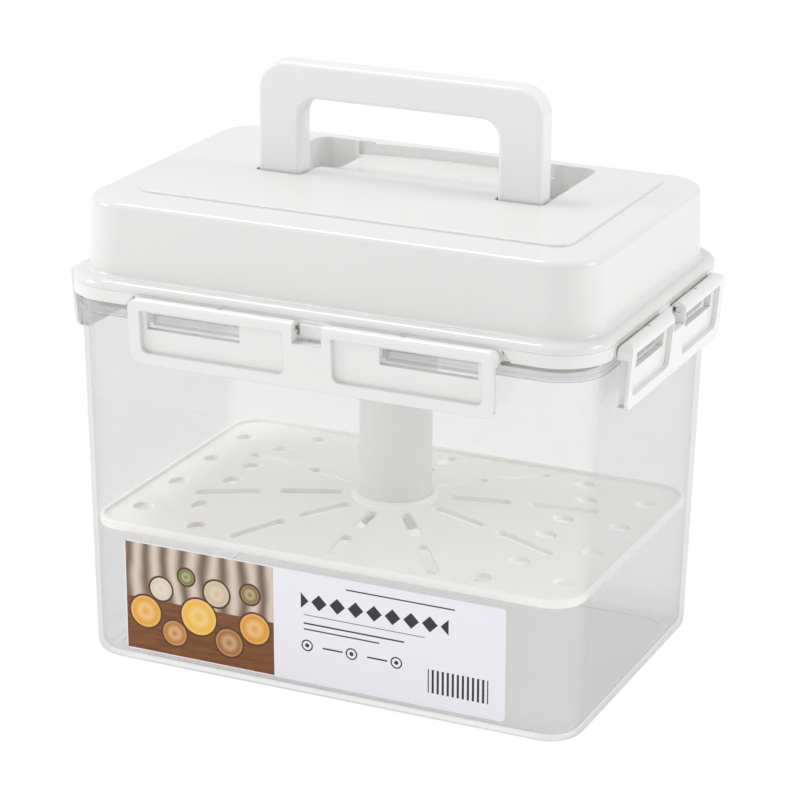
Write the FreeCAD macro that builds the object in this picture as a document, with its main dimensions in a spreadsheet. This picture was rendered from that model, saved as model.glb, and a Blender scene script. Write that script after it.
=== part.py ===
"""Pickle keeper with a lift strainer: a clear tub, a clip-down lid with a folding handle,
and a sprung press column that carries a perforated strainer plate.

Millimetres. +Z is up, the origin is under the middle of the tub where it stands,
-Y is the front with the label, and +X is to the right of the label.
"""
import FreeCAD, Part
import math
import os
import Sketcher
from FreeCAD import Placement, Rotation, Vector

doc = FreeCAD.newDocument("pickle_keeper")

# Driving dimensions in millimetres, degrees where the name says so
SIZES = {
    # tub
    "tub_half_x": 114.0,
    "tub_half_y": 76.8,
    "tub_top": 162.5,
    "tub_corner": 19.0,
    "tub_draft_deg": 1.25,
    "tub_wall": 2.0,
    "tub_floor": 2.4,
    "foot_round": 5.0,
    "floor_round": 4.0,
    "foot_ring_width": 3.0,
    "foot_hollow": 0.9,
    "band_below_rim": 2.5,
    "band_height": 6.0,
    "band_proud": 0.5,
    "bead_height": 1.4,
    "bead_proud": 0.5,
    "lug_height": 4.0,
    # label
    "label_left_margin": 20.55,
    "label_right_margin": 28.45,
    "label_bottom": 6.9,
    "label_height": 49.3,
    "label_thick": 0.2,
    "label_corner": 2.0,
    # lid base
    "flange_wall": 2.65,
    "flange_below_rim": 2.3,
    "split_above_web": 0.7,
    "skirt_gap": 0.35,
    "lip_gap": 0.6,
    "lip_wall": 1.8,
    "lip_depth": 8.0,
    "web_thick": 1.8,
    "web_overlap": 0.2,
    "seal_gap": 0.2,
    "seal_height": 2.1,
    "collar_wall": 4.5,
    "collar_depth": 7.0,
    # lid cover
    "web_clearance": 0.3,
    "flange_round": 3.0,
    "dome_step_x": 4.9,
    "dome_step_y": 6.5,
    "dome_step_corner": 2.5,
    "dome_draft_deg": 2.0,
    "dome_height": 30.7,
    "dome_round": 3.0,
    "dome_foot_round": 1.7,
    "panel_side_margin": 17.3,
    "panel_front_margin": 20.8,
    "panel_back_margin": 11.8,
    "panel_corner": 8.0,
    "panel_rise": 1.0,
    "panel_round": 0.6,
    "cover_wall": 2.2,
    "cover_fit": 0.5,
    # handle and its recess
    "handle_half_x": 63.6,
    "handle_leg": 19.3,
    "handle_thick": 11.2,
    "handle_y": 3.6,
    "handle_bar": 14.6,
    "handle_corner": 12.0,
    "handle_inner_corner": 8.0,
    "handle_edge": 2.0,
    "fold_deg": 80.0,
    "fold_gap": 0.5,
    "pivot_back": 1.0,
    "pivot_below_panel": 7.7,
    "pin_radius": 2.25,
    "pin_gap": 0.05,
    "pin_boss": 4.8,
    "recess_gap": 1.1,
    "recess_front_gap": 0.9,
    "recess_floor_gap": 0.8,
    "recess_back_gap": 1.6,
    "recess_back_margin": 12.6,
    "recess_front_corner": 2.4,
    "recess_back_corner": 6.0,
    "scoop_depth": 4.2,
    "tongue_start": 6.0,
    "tongue_flat": 3.0,
    # latches
    "latch_end_margin_long": 34.5,
    "latch_end_margin_short": 22.0,
    "latch_drop": 24.4,
    "latch_foot_thick": 4.4,
    "latch_gap": 0.3,
    "latch_knuckle": 3.2,
    "latch_relief": 1.0,
    "latch_end_wall": 5.0,
    "latch_corner": 5.0,
    "latch_top_corner": 4.0,
    "latch_skin": 1.3,
    "end_hollow_foot": 1.4,
    "end_hollow_head": 3.4,
    "hinge_above_flange": 2.2,
    "bar_radius": 1.2,
    "bar_gap": 0.05,
    "bar_end_gap": 0.2,
    "bar_notch_gap": 0.3,
    "clip_mouth": 1.8,
    "bracket_half": 0.8,
    "bracket_height": 1.6,
    "bracket_root": 1.0,
    "bracket_gap": 0.2,
    "notch_half": 6.3,
    "notch_depth": 5.4,
    "tab_side_gap": 0.8,
    "tab_bottom_gap": 1.3,
    "tab_out": 1.6,
    "tab_above": 1.4,
    "tab_round": 0.5,
    "end_notch_gap": 0.3,
    "end_notch_width": 3.8,
    "end_notch_depth": 1.6,
    "end_notch_above": 2.6,
    "pocket_above_foot": 5.0,
    "pocket_below_hinge": 1.3,
    "pocket_depth": 2.0,
    "pocket_inset": 5.2,
    "pocket_middle_long": 10.6,
    "pocket_middle_short": 7.6,
    "pocket_corner": 3.0,
    "window_below_lug": 1.0,
    "window_below_hinge": 2.4,
    "window_inner_long": 30.5,
    "window_end_long": 7.5,
    "window_inner_short": 12.5,
    "window_end_short": 9.8,
    "lug_end_gap": 1.2,
    # press column
    "sleeve_radius": 17.25,
    "sleeve_wall": 1.2,
    "sleeve_reach": 54.8,
    "sleeve_fit": 0.1,
    "sleeve_lip": 2.0,
    "sleeve_flange": 4.5,
    "sleeve_flange_thick": 2.5,
    "cap_room": 2.8,
    "cap_thick": 3.0,
    "cap_plug": 5.0,
    "tube_radius": 15.5,
    "tube_wall": 1.8,
    "tube_slide_gap": 0.15,
    "tube_overlap": 30.0,
    "tube_bead_height": 3.0,
    "bead_gap": 0.2,
    "tube_floor": 2.5,
    "tube_reach": 42.4,
    "stem_radius": 9.5,
    "stem_length": 8.5,
    "spring_radius": 10.5,
    "spring_wire": 1.1,
    "spring_turns": 11.0,
    "spring_gap": 0.1,
    # strainer plate
    "hub_above_plate": 7.2,
    "plate_thick": 2.2,
    "plate_gap": 1.1,
    "plate_rim_height": 3.7,
    "plate_rim_wall": 1.8,
    "plate_rim_round": 0.7,
    "crown_rise": 5.2,
    "crown_depth": 40.0,
    "hub_wall": 1.7,
    "hub_socket": 5.0,
    "hub_floor": 2.5,
    "hub_fit": 0.1,
    "hub_round": 2.5,
    "hub_edge_round": 0.5,
    "slot_half_width": 2.75,
    "slot_start": 4.4,
    "slot_bridge": 7.0,
    "slot_end_margin": 22.4,
    "slot_side_margin": 8.4,
    "hole_radius": 4.5,
    "hole_end_margin": 13.0,
    "hole_middle_margin": 36.0,
    "hole_corner_margin": 44.4,
    "hole_corner_side": 13.4,
    "hole_end_side": 24.1,
    "hole_middle_side": 33.3,
    "hole_end_near": 15.8,
    "hole_middle_near": 9.7,
    "nut_radius": 15.0,
    "nut_height": 5.5,
    "nut_gap": 0.05,
}
SLOT_COUNT = 10
SLOT_INNER_SHARE = 0.43
# The slots' ends are all but half round
SLOT_CORNER_SHARE = 0.98
# A slot that points this much more along X than along Y ends at a short side of the plate
END_SLOT_LEAD = 0.5
QUARTER_TURN = 90
THIRD_TURN = 120
# How far cutting pieces reach past a face, and how closely an edge is matched to a level
CUT_MARGIN = 5.0
EDGE_REACH = 0.05
STRAIGHT_SHARE = 0.01

sheet = doc.addObject("Spreadsheet::Sheet", "sizes")
for number, (alias, value) in enumerate(SIZES.items(), 1):
    sheet.set("A%d" % number, alias)
    sheet.set("B%d" % number, repr(value))
    sheet.setAlias("B%d" % number, alias)
doc.recompute()


class Size:
    """A number together with the sheet expression that gives it."""

    def __init__(self, value, text):
        self.value = value
        self.text = text

    def join(self, other, sign, value):
        other_text = other.text if isinstance(other, Size) else "(%r)" % float(other)
        return Size(value, "(%s %s %s)" % (self.text, sign, other_text))

    def __add__(self, other):
        return self.join(other, "+", self.value + number_of(other))

    def __sub__(self, other):
        return self.join(other, "-", self.value - number_of(other))

    def __mul__(self, other):
        return self.join(other, "*", self.value * number_of(other))

    def __truediv__(self, other):
        return self.join(other, "/", self.value / number_of(other))

    def __neg__(self):
        return self * -1.0


def number_of(size):
    return size.value if isinstance(size, Size) else float(size)


class Sheet:
    """Gives each sheet cell as a Size under its alias."""

    def __getattr__(self, alias):
        return Size(float(sheet.get(alias)), "<<sizes>>.%s" % alias)


at = Sheet()


def bind(piece, name, size):
    """Set a property, and tie it to the sheet where its size comes from there."""
    if isinstance(size, Size):
        piece.setExpression(name, size.text)


def turn_of(function, size_deg):
    """The sine, cosine or tangent of a size that is held in degrees."""
    value = getattr(math, function)(math.radians(size_deg.value))
    return Size(value, "%s(%s * 1 deg)" % (function, size_deg.text))


def place(piece, x=0.0, y=0.0, z=0.0, turn=None):
    """Put a piece at a point, turned first about the origin of its own frame."""
    point = Vector(number_of(x), number_of(y), number_of(z))
    piece.Placement = Placement(point, turn or Rotation())
    bind(piece, "Placement.Base.x", x)
    bind(piece, "Placement.Base.y", y)
    bind(piece, "Placement.Base.z", z)
    return piece


def box(name, x, y, z):
    """A block between a low and a high value along each axis."""
    piece = doc.addObject("Part::Box", name)
    for side, (low, high) in zip(("Length", "Width", "Height"), (x, y, z)):
        if isinstance(high, Size) or not isinstance(low, Size):
            span = high - low
        else:
            span = -(low - high)
        setattr(piece, side, number_of(span))
        bind(piece, side, span)
    return place(piece, x[0], y[0], z[0])


NONE = Size(0.0, "0")
PAST_ZERO = Size(-CUT_MARGIN, "-%s" % CUT_MARGIN)
ALONG_X = Rotation(Vector(0, 1, 0), QUARTER_TURN)
YZ_PLANE = Rotation(Vector(1, 1, 1), THIRD_TURN)
XZ_PLANE = Rotation(Vector(1, 0, 0), QUARTER_TURN)


def cylinder(name, radius, length, x=0.0, y=0.0, z=0.0, turn=None):
    piece = doc.addObject("Part::Cylinder", name)
    piece.Radius = number_of(radius)
    piece.Height = number_of(length)
    bind(piece, "Radius", radius)
    bind(piece, "Height", length)
    return place(piece, x, y, z, turn)


def outline(name, half_x, half_y, corner, level, centre=(0.0, 0.0)):
    """A level rounded rectangle, held by a constrained sketch."""
    sketch = doc.addObject("Sketcher::SketchObject", name)
    a, b, r = number_of(half_x), number_of(half_y), number_of(corner)
    up = Vector(0, 0, 1)
    sides = [
        Part.LineSegment(Vector(r - a, -b, 0), Vector(a - r, -b, 0)),
        Part.LineSegment(Vector(a, r - b, 0), Vector(a, b - r, 0)),
        Part.LineSegment(Vector(a - r, b, 0), Vector(r - a, b, 0)),
        Part.LineSegment(Vector(-a, b - r, 0), Vector(-a, r - b, 0)),
    ]
    centres = [(a - r, r - b), (a - r, b - r), (r - a, b - r), (r - a, r - b)]
    arcs = []
    for number, (x, y) in enumerate(centres, -1):
        circle = Part.Circle(Vector(x, y, 0), up, r)
        start, end = [math.radians(QUARTER_TURN * (number + step)) for step in (0, 1)]
        arcs.append(Part.ArcOfCircle(circle, start, end))
    sketch.addGeometry(sides + arcs, False)
    rules = []
    for side in range(4):
        arc = side + 4
        rules.append(Sketcher.Constraint("Tangent", side, 2, arc, 1))
        rules.append(Sketcher.Constraint("Tangent", arc, 2, (side + 1) % 4, 1))
    for side, way in enumerate(("Horizontal", "Vertical", "Horizontal", "Vertical")):
        rules.append(Sketcher.Constraint(way, side))
    for arc in (5, 6, 7):
        rules.append(Sketcher.Constraint("Equal", 4, arc))
    rules.append(Sketcher.Constraint("Symmetric", 4, 3, 6, 3, -1, 1))
    sketch.addConstraint(rules)
    for title, rule, size in (
        ("half_x", Sketcher.Constraint("DistanceX", -1, 1, 1, 1, a), half_x),
        ("half_y", Sketcher.Constraint("DistanceY", -1, 1, 2, 1, b), half_y),
        ("corner", Sketcher.Constraint("Radius", 4, r), corner),
    ):
        index = sketch.addConstraint(rule)
        sketch.renameConstraint(index, title)
        bind(sketch, "Constraints.%s" % title, size)
    return place(sketch, centre[0], centre[1], level)


def hold_point(sketch, index, end, title, point):
    """Tie one end of a sketch element to a point's two sizes."""
    for axis, size in zip(("DistanceX", "DistanceY"), point):
        rule = sketch.addConstraint(Sketcher.Constraint(axis, -1, 1, index, end, number_of(size)))
        label = "%s_%s" % (title, axis[-1].lower())
        sketch.renameConstraint(rule, label)
        bind(sketch, "Constraints.%s" % label, size)


def polygon(name, points, x=0.0, y=0.0, plane=YZ_PLANE):
    """A closed outline in an upright plane, with its corners at given sizes."""
    sketch = doc.addObject("Sketcher::SketchObject", name)
    corners = [Vector(number_of(y), number_of(z), 0) for y, z in points]
    last = len(corners)
    for index, corner in enumerate(corners):
        sketch.addGeometry(Part.LineSegment(corner, corners[(index + 1) % last]), False)
    for index in range(last):
        sketch.addConstraint(Sketcher.Constraint("Coincident", index, 2, (index + 1) % last, 1))
    for index, point in enumerate(points):
        hold_point(sketch, index, 1, "corner_%d" % index, point)
    return place(sketch, x, y, 0.0, plane)


def swept_step(name, start, finish_at, far, edge_z, x):
    """An outline in the YZ plane whose one side eases from one level to another through two equal arcs."""
    sketch = doc.addObject("Sketcher::SketchObject", name)
    span = finish_at[0] - start[0]
    drop = start[1] - finish_at[1]
    bend = (span * span + drop * drop) / (drop * 4.0)
    half = math.asin((span / 2.0 / bend).value)
    y0, z0, y1, z1, y2, z2 = [size.value for size in (*start, *finish_at, far, edge_z)]
    radius = bend.value
    normal = Vector(0, 0, 1)
    crest = Part.ArcOfCircle(
        Part.Circle(Vector(y0, z0 - radius, 0), normal, radius), math.pi / 2 - half, math.pi / 2
    )
    hollow = Part.ArcOfCircle(
        Part.Circle(Vector(y1, z1 + radius, 0), normal, radius), 1.5 * math.pi - half, 1.5 * math.pi
    )
    sides = [
        Part.LineSegment(Vector(y1, z1, 0), Vector(y2, z1, 0)),
        Part.LineSegment(Vector(y2, z1, 0), Vector(y2, z2, 0)),
        Part.LineSegment(Vector(y2, z2, 0), Vector(y0, z2, 0)),
        Part.LineSegment(Vector(y0, z2, 0), Vector(y0, z0, 0)),
    ]
    sketch.addGeometry([crest, hollow] + sides, False)
    rules = [
        Sketcher.Constraint("Tangent", 0, 1, 1, 1),
        Sketcher.Constraint("Tangent", 1, 2, 2, 1),
        Sketcher.Constraint("Coincident", 2, 2, 3, 1),
        Sketcher.Constraint("Coincident", 3, 2, 4, 1),
        Sketcher.Constraint("Coincident", 4, 2, 5, 1),
        Sketcher.Constraint("Coincident", 5, 2, 0, 2),
        Sketcher.Constraint("Equal", 0, 1),
        Sketcher.Constraint("Horizontal", 2),
        Sketcher.Constraint("Vertical", 3),
        Sketcher.Constraint("Horizontal", 4),
        Sketcher.Constraint("Vertical", 5),
    ]
    sketch.addConstraint(rules)
    hold_point(sketch, 0, 2, "start", start)
    hold_point(sketch, 2, 1, "finish", finish_at)
    hold_point(sketch, 3, 2, "far", (far, edge_z))
    return place(sketch, x, 0.0, 0.0, YZ_PLANE)


def extrude(name, sketch, length, way=Vector(0, 0, 1), taper=0.0):
    """A solid along one axis; a positive taper makes it wider as it goes."""
    piece = doc.addObject("Part::Extrusion", name)
    piece.Base = sketch
    piece.DirMode = "Custom"
    piece.Dir = way
    piece.Solid = True
    piece.LengthFwd = number_of(length)
    bind(piece, "LengthFwd", length)
    piece.TaperAngle = number_of(taper)
    bind(piece, "TaperAngle", taper)
    return piece


def block(name, half_x, half_y, corner, z, taper=0.0, centre=(0.0, 0.0)):
    """A rounded rectangle raised from a low to a high level."""
    base = outline(name + "_outline", half_x, half_y, corner, z[0], centre)
    return extrude(name, base, z[1] - z[0], taper=taper)


def cut(name, base, tools):
    piece = base
    for index, tool in enumerate(tools):
        step = doc.addObject("Part::Cut", "%s_%d" % (name, index))
        step.Base = piece
        step.Tool = tool
        piece = step
    return piece


def fuse(name, pieces):
    piece = doc.addObject("Part::MultiFuse", name)
    piece.Shapes = pieces
    piece.Refine = True
    return piece


def common(name, first, second):
    piece = doc.addObject("Part::MultiCommon", name)
    piece.Shapes = [first, second]
    return piece


def fillet(name, base, radius, wanted):
    """Round the edges that pass a test."""
    doc.recompute()
    size = number_of(radius)
    picked = [(index, size, size) for index, edge in enumerate(base.Shape.Edges, 1) if wanted(edge)]
    piece = doc.addObject("Part::Fillet", name)
    piece.Base = base
    piece.Edges = picked
    return piece


def ring(name, outer, inner):
    return cut(name, outer, [inner])


def is_level(edge, z):
    box_of = edge.BoundBox
    return abs(box_of.ZMin - z) < EDGE_REACH and abs(box_of.ZMax - z) < EDGE_REACH


def runs_along(edge, axis):
    """True for a straight edge along one axis: 0, 1 or 2 for X, Y or Z."""
    if edge.Curve.TypeId != "Part::GeomLine":
        return False
    way = edge.Vertexes[1].Point - edge.Vertexes[0].Point
    return abs(abs(way[axis]) - way.Length) < STRAIGHT_SHARE * way.Length


nodes = {}


def finish(name, piece):
    """Give the finished piece the name that its file takes."""
    nodes[name] = piece
    piece.Label = name


# Levels and outlines that the pieces share, each from the piece that it rests on or fits
band_top = at.tub_top - at.band_below_rim
band_bottom = band_top - at.band_height
flange_half_x = at.tub_half_x + at.skirt_gap + at.flange_wall
flange_half_y = at.tub_half_y + at.skirt_gap + at.flange_wall
flange_corner = at.tub_corner + at.skirt_gap + at.flange_wall
flange_bottom = at.tub_top - at.flange_below_rim
web_bottom = at.tub_top + at.seal_gap + at.seal_height
web_top = web_bottom + at.web_thick
flange_split = web_bottom + at.split_above_web
flange_top = web_top + at.web_clearance + at.cover_wall
dome_half_x = flange_half_x - at.dome_step_x
dome_half_y = flange_half_y - at.dome_step_y
dome_corner = flange_corner - at.dome_step_corner
dome_top = flange_top + at.dome_height
panel_top = dome_top + at.panel_rise
hinge_out = at.latch_gap + at.latch_knuckle
hinge_z = flange_bottom + at.hinge_above_flange
latch_bottom = hinge_z - at.latch_drop

# Tub: one thin moulded shell with draft, a standing ring, a rim band and the lugs for the clips
draft = turn_of("tan", at.tub_draft_deg)
foot_inset = draft * at.tub_top
foot_half_x = at.tub_half_x - foot_inset
foot_half_y = at.tub_half_y - foot_inset
foot_corner = at.tub_corner - foot_inset

tub_body = block("tub_body", foot_half_x, foot_half_y, foot_corner, (NONE, at.tub_top), at.tub_draft_deg)
tub_body = fillet("tub_foot_round", tub_body, at.foot_round, lambda edge: is_level(edge, 0.0))
cavity_inset = at.tub_wall - draft * at.tub_floor
cavity = block(
    "tub_cavity",
    foot_half_x - cavity_inset,
    foot_half_y - cavity_inset,
    foot_corner - cavity_inset,
    (at.tub_floor, at.tub_top + CUT_MARGIN),
    at.tub_draft_deg,
)
cavity = fillet("tub_floor_round", cavity, at.floor_round, lambda edge: is_level(edge, at.tub_floor.value))
ring_inset = at.foot_round + at.foot_ring_width
foot_hollow = block(
    "tub_foot_hollow",
    foot_half_x - ring_inset,
    foot_half_y - ring_inset,
    foot_corner - ring_inset / 2.0,
    (PAST_ZERO, at.foot_hollow),
)


def rim_ring(name, proud, z):
    """A band round the tub under its rim."""
    return block(name, at.tub_half_x + proud, at.tub_half_y + proud, at.tub_corner + proud, z)


rim_band = rim_ring("tub_band", at.band_proud, (band_bottom, band_top))
bead_proud = at.band_proud + at.bead_proud
low_bead = rim_ring("tub_low_bead", bead_proud, (band_bottom, band_bottom + at.bead_height))
bead_middle = (band_bottom + band_top - at.bead_height) / 2.0
high_bead = rim_ring("tub_high_bead", bead_proud, (bead_middle, bead_middle + at.bead_height))


def latch_half(length):
    if length == "long":
        return at.tub_half_x - at.latch_end_margin_long
    return at.tub_half_y - at.latch_end_margin_short


def window_span(length):
    """The near and far end of one clip's window, from the clip's middle."""
    if length == "long":
        return at.window_inner_long, latch_half(length) - at.window_end_long
    return at.window_inner_short, latch_half(length) - at.window_end_short


def lugs(name, length, side, flange_half, tub_half):
    """Two bars under the rim, one behind each window of a clip."""
    window_inner, window_outer = window_span(length)
    out = flange_half + at.latch_relief
    z = (band_bottom, band_bottom + at.lug_height)
    low = window_inner + at.lug_end_gap
    high = window_outer - at.lug_end_gap
    made = []
    for index, (near, far) in enumerate(((low, high), (-high, -low))):
        depth = (tub_half, out) if side > 0 else (-out, -tub_half)
        title = "%s_%d" % (name, index)
        made.append((title, (near, far), depth, z))
    return made


lug_blocks = []
for name, side in (("lug_front", -1), ("lug_back", 1)):
    for title, along, depth, z in lugs(name, "long", side, flange_half_y, at.tub_half_y):
        lug_blocks.append(box(title, along, depth, z))
for name, side in (("lug_left", -1), ("lug_right", 1)):
    for title, along, depth, z in lugs(name, "short", side, flange_half_x, at.tub_half_x):
        lug_blocks.append(box(title, depth, along, z))

tub = fuse("tub_outside", [tub_body, rim_band, low_bead, high_bead] + lug_blocks)
finish("container", cut("tub", tub, [cavity, foot_hollow]))

# Label: a paper sticker that lies on the drafted front wall
label_box = box(
    "label_sheet",
    (at.label_left_margin - foot_half_x, foot_half_x - at.label_right_margin),
    (NONE, at.label_thick),
    (at.label_bottom, at.label_bottom + at.label_height),
)
label = fillet("label_round", label_box, at.label_corner, lambda edge: runs_along(edge, 1))
doc.recompute()
lean = math.degrees(math.atan(draft.value))
label_place = doc.addObject("Part::Compound", "label_place")
label_place.Links = [label]
place(label_place, 0.0, -(foot_half_y + at.label_thick), 0.0, Rotation(Vector(1, 0, 0), lean))
finish("label", label_place)

# Lid base: flange band, skirt, inner lip, web, column collar and the bars that the clips turn on
skirt_half_x = at.tub_half_x + at.skirt_gap
skirt_half_y = at.tub_half_y + at.skirt_gap
skirt_corner = at.tub_corner + at.skirt_gap
band = block(
    "base_band",
    flange_half_x,
    flange_half_y,
    flange_corner,
    (flange_bottom, flange_split),
)
band_hole = block(
    "base_band_hole",
    skirt_half_x,
    skirt_half_y,
    skirt_corner,
    (flange_bottom - CUT_MARGIN, flange_split + CUT_MARGIN),
)
web = block(
    "base_web",
    skirt_half_x + at.web_overlap,
    skirt_half_y + at.web_overlap,
    skirt_corner + at.web_overlap,
    (web_bottom, web_top),
)
lip_inset = at.tub_wall + at.lip_gap
lip_bottom = web_bottom - at.lip_depth
lip_outer = block(
    "base_lip_outer",
    at.tub_half_x - lip_inset,
    at.tub_half_y - lip_inset,
    at.tub_corner - lip_inset,
    (lip_bottom, web_bottom),
)
lip_inner = block(
    "base_lip_inner",
    at.tub_half_x - lip_inset - at.lip_wall,
    at.tub_half_y - lip_inset - at.lip_wall,
    at.tub_corner - lip_inset - at.lip_wall,
    (lip_bottom - CUT_MARGIN, web_bottom),
)
collar_bore = at.sleeve_radius + at.sleeve_fit
collar = cylinder(
    "base_collar",
    collar_bore + at.collar_wall,
    at.collar_depth,
    z=web_bottom - at.collar_depth,
)
column_hole = cylinder(
    "base_column_hole",
    collar_bore,
    at.collar_depth + at.web_thick + 2 * CUT_MARGIN,
    z=web_bottom - at.collar_depth - CUT_MARGIN,
)


def around(name, piece_of):
    """Make a clip's piece at the front, back, left and right of the lid."""
    quarter = (
        ("front", 2 * QUARTER_TURN, Vector(0, -1, 0), flange_half_y, "long"),
        ("back", 0, Vector(0, 1, 0), flange_half_y, "long"),
        ("left", QUARTER_TURN, Vector(-1, 0, 0), flange_half_x, "short"),
        ("right", -QUARTER_TURN, Vector(1, 0, 0), flange_half_x, "short"),
    )
    made = {}
    for side, turn, out, half, length in quarter:
        piece = piece_of("%s_%s" % (name, side), length)
        holder = doc.addObject("Part::Compound", "%s_%s_place" % (name, side))
        holder.Links = [piece]
        place(holder, half * out.x, half * out.y, 0.0, Rotation(Vector(0, 0, 1), turn))
        made[side] = holder
    return made


def bracket_centres(length):
    """Places along a clip of the two low brackets that hold the bar."""
    return [-latch_half(length) / 2.0, latch_half(length) / 2.0]


def hinge_bar(name, length):
    """The two round bars of one clip with their brackets, and the tab in its notch; +Y is outwards."""
    half = latch_half(length) - at.latch_end_wall
    root = -at.bracket_root
    near = at.notch_half + at.bar_notch_gap
    pieces = []
    for side, start in (("a", near), ("b", -half)):
        title = "%s_rod_%s" % (name, side)
        pieces.append(cylinder(title, at.bar_radius, half - near, start, hinge_out, hinge_z, ALONG_X))
    for index, centre in enumerate(bracket_centres(length)):
        x = (centre - at.bracket_half, centre + at.bracket_half)
        z = (hinge_z - at.bracket_height, hinge_z)
        pieces.append(box("%s_bracket_%d" % (name, index), x, (root, hinge_out), z))
    tab_half = at.notch_half - at.tab_side_gap
    tab = box(
        name + "_tab",
        (-tab_half, tab_half),
        (root, at.tab_out),
        (hinge_z - at.notch_depth + at.tab_bottom_gap, hinge_z + at.tab_above),
    )
    tab_face = at.tab_out.value - EDGE_REACH
    pieces.append(fillet(name + "_tab_round", tab, at.tab_round, lambda edge: edge.BoundBox.YMin > tab_face))
    return fuse(name, pieces)


def end_notches(name, length):
    """The two small wedges cut out of the flange beside the ends of one clip."""
    near = latch_half(length) + at.end_notch_gap
    low = flange_bottom - CUT_MARGIN
    wedges = []
    for side, sign in (("a", 1.0), ("b", -1.0)):
        corners = [
            (near * sign, low),
            ((near + at.end_notch_width) * sign, low),
            ((near + at.end_notch_width) * sign, flange_bottom),
            (near * sign, hinge_z + at.end_notch_above),
        ]
        section = polygon("%s_%s_section" % (name, side), corners, 0.0, at.latch_gap, XZ_PLANE)
        depth = at.latch_gap + at.end_notch_depth
        wedges.append(extrude("%s_%s" % (name, side), section, depth, Vector(0, -1, 0)))
    return fuse(name, wedges)


bars = around("hinge_bar", hinge_bar)
notches = around("end_notch", end_notches)
band_ring = cut("base_ring", band, [band_hole] + list(notches.values()))
lip = ring("base_lip", lip_outer, lip_inner)
lid_base = fuse("lid_base_solid", [band_ring, web, lip, collar] + list(bars.values()))
finish("lid_base", cut("lid_base_cut", lid_base, [column_hole]))

# Seal: a silicone ring between the lip and the skirt, pressed by the tub's rim
seal_outer = block(
    "seal_outer",
    skirt_half_x,
    skirt_half_y,
    skirt_corner,
    (at.tub_top + at.seal_gap, web_bottom),
)
seal_inner = block(
    "seal_inner",
    at.tub_half_x - lip_inset,
    at.tub_half_y - lip_inset,
    at.tub_corner - lip_inset,
    (at.tub_top + at.seal_gap - CUT_MARGIN, web_bottom + CUT_MARGIN),
)
finish("lid_seal", ring("seal", seal_outer, seal_inner))

# Lid cover: the glossy dome with its raised panel and the recess that takes the folded handle
flange = block(
    "cover_flange",
    flange_half_x,
    flange_half_y,
    flange_corner,
    (flange_split, flange_top),
)
flange = fillet("cover_flange_round", flange, at.flange_round, lambda edge: is_level(edge, flange_top.value))
dome = block(
    "cover_dome",
    dome_half_x,
    dome_half_y,
    dome_corner,
    (flange_split, dome_top),
    -at.dome_draft_deg,
)
dome = fillet("cover_dome_round", dome, at.dome_round, lambda edge: is_level(edge, dome_top.value))
panel_front = dome_half_y - at.panel_front_margin
panel_back = dome_half_y - at.panel_back_margin
panel_centre_y = (panel_back - panel_front) / 2.0
panel = block(
    "cover_panel",
    dome_half_x - at.panel_side_margin,
    (panel_back + panel_front) / 2.0,
    at.panel_corner,
    (dome_top - at.panel_rise, panel_top),
    centre=(0.0, panel_centre_y),
)
panel = fillet("cover_panel_round", panel, at.panel_round, lambda edge: is_level(edge, panel_top.value))

# The recess follows the folded handle: a deep channel for each leg, and between them a tongue
# that eases down to the level where the bar comes to rest
handle_half_thick = at.handle_thick / 2.0
pivot_y = at.handle_y + at.pivot_back
handle_front = at.handle_y - handle_half_thick
handle_back = at.handle_y + handle_half_thick
opening_half = at.handle_half_x - at.handle_leg
pivot_z = panel_top - at.pivot_below_panel
fold_sine = turn_of("sin", at.fold_deg)
fold_cosine = turn_of("cos", at.fold_deg)
behind_pivot = handle_back - pivot_y
recess_back = dome_half_y - at.recess_back_margin
bar_far = recess_back - at.recess_back_gap
handle_top = pivot_z + (bar_far - pivot_y - behind_pivot * fold_cosine) / fold_sine
opening_top = handle_top - at.handle_bar
bar_near = pivot_y + behind_pivot * fold_cosine + (opening_top - pivot_z) * fold_sine
bar_rest = pivot_z + (opening_top - pivot_z) * fold_cosine - behind_pivot * fold_sine
tongue_low = bar_rest - at.fold_gap
tongue_flat = bar_near - at.tongue_flat
recess_front = handle_front - at.recess_front_gap
recess_floor = pivot_z - handle_half_thick - at.recess_floor_gap
channel_in = opening_half - at.recess_gap
channel_out = at.handle_half_x + at.recess_gap
STEP_START_LIFT = 0.05
TOUCH = 0.5


def channel(name, sign, grow, top):
    """The space of one leg, or with a wall's thickness as grow, the body of the pan round it."""
    x = (channel_in - grow, channel_out + grow) if sign > 0 else (-(channel_out + grow), -(channel_in - grow))
    space = box(name, x, (recess_front - grow, recess_back + grow), (recess_floor - grow, top))
    middle_y = (recess_back.value + recess_front.value) / 2.0
    for title, radius, behind in (
        ("front", at.recess_front_corner, False),
        ("back", at.recess_back_corner, True),
    ):
        space = fillet(
            "%s_%s_corners" % (name, title),
            space,
            radius + grow,
            lambda edge: runs_along(edge, 2) and (edge.BoundBox.YMin > middle_y) == behind,
        )
    return space


def trough(name, half, grow, top):
    """The space over the tongue, which the bar swings into, or the body of the pan under it."""
    start = (at.tongue_start, panel_top + STEP_START_LIFT - grow)
    low = (tongue_flat, tongue_low - grow)
    section = swept_step(name + "_section", start, low, recess_back + grow, top, -half)
    space = extrude(name + "_step", section, half * 2.0, Vector(1, 0, 0))
    bow_half = channel_in
    bow = (bow_half * bow_half / at.scoop_depth + at.scoop_depth) / 2.0
    drum = cylinder(
        name + "_drum",
        bow + grow,
        top - tongue_low + grow,
        0.0,
        recess_back + at.scoop_depth - bow,
        tongue_low - grow,
    )
    reach = bow_half + grow
    limit = box(
        name + "_drum_limit",
        (-reach, reach),
        (recess_back - TOUCH, recess_back + at.scoop_depth + grow + CUT_MARGIN),
        (tongue_low - grow, top),
    )
    return fuse(name, [space, common(name + "_scoop", drum, limit)])


cover_outside = fuse("cover_outside", [flange, dome, panel])
doc.recompute()


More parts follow.
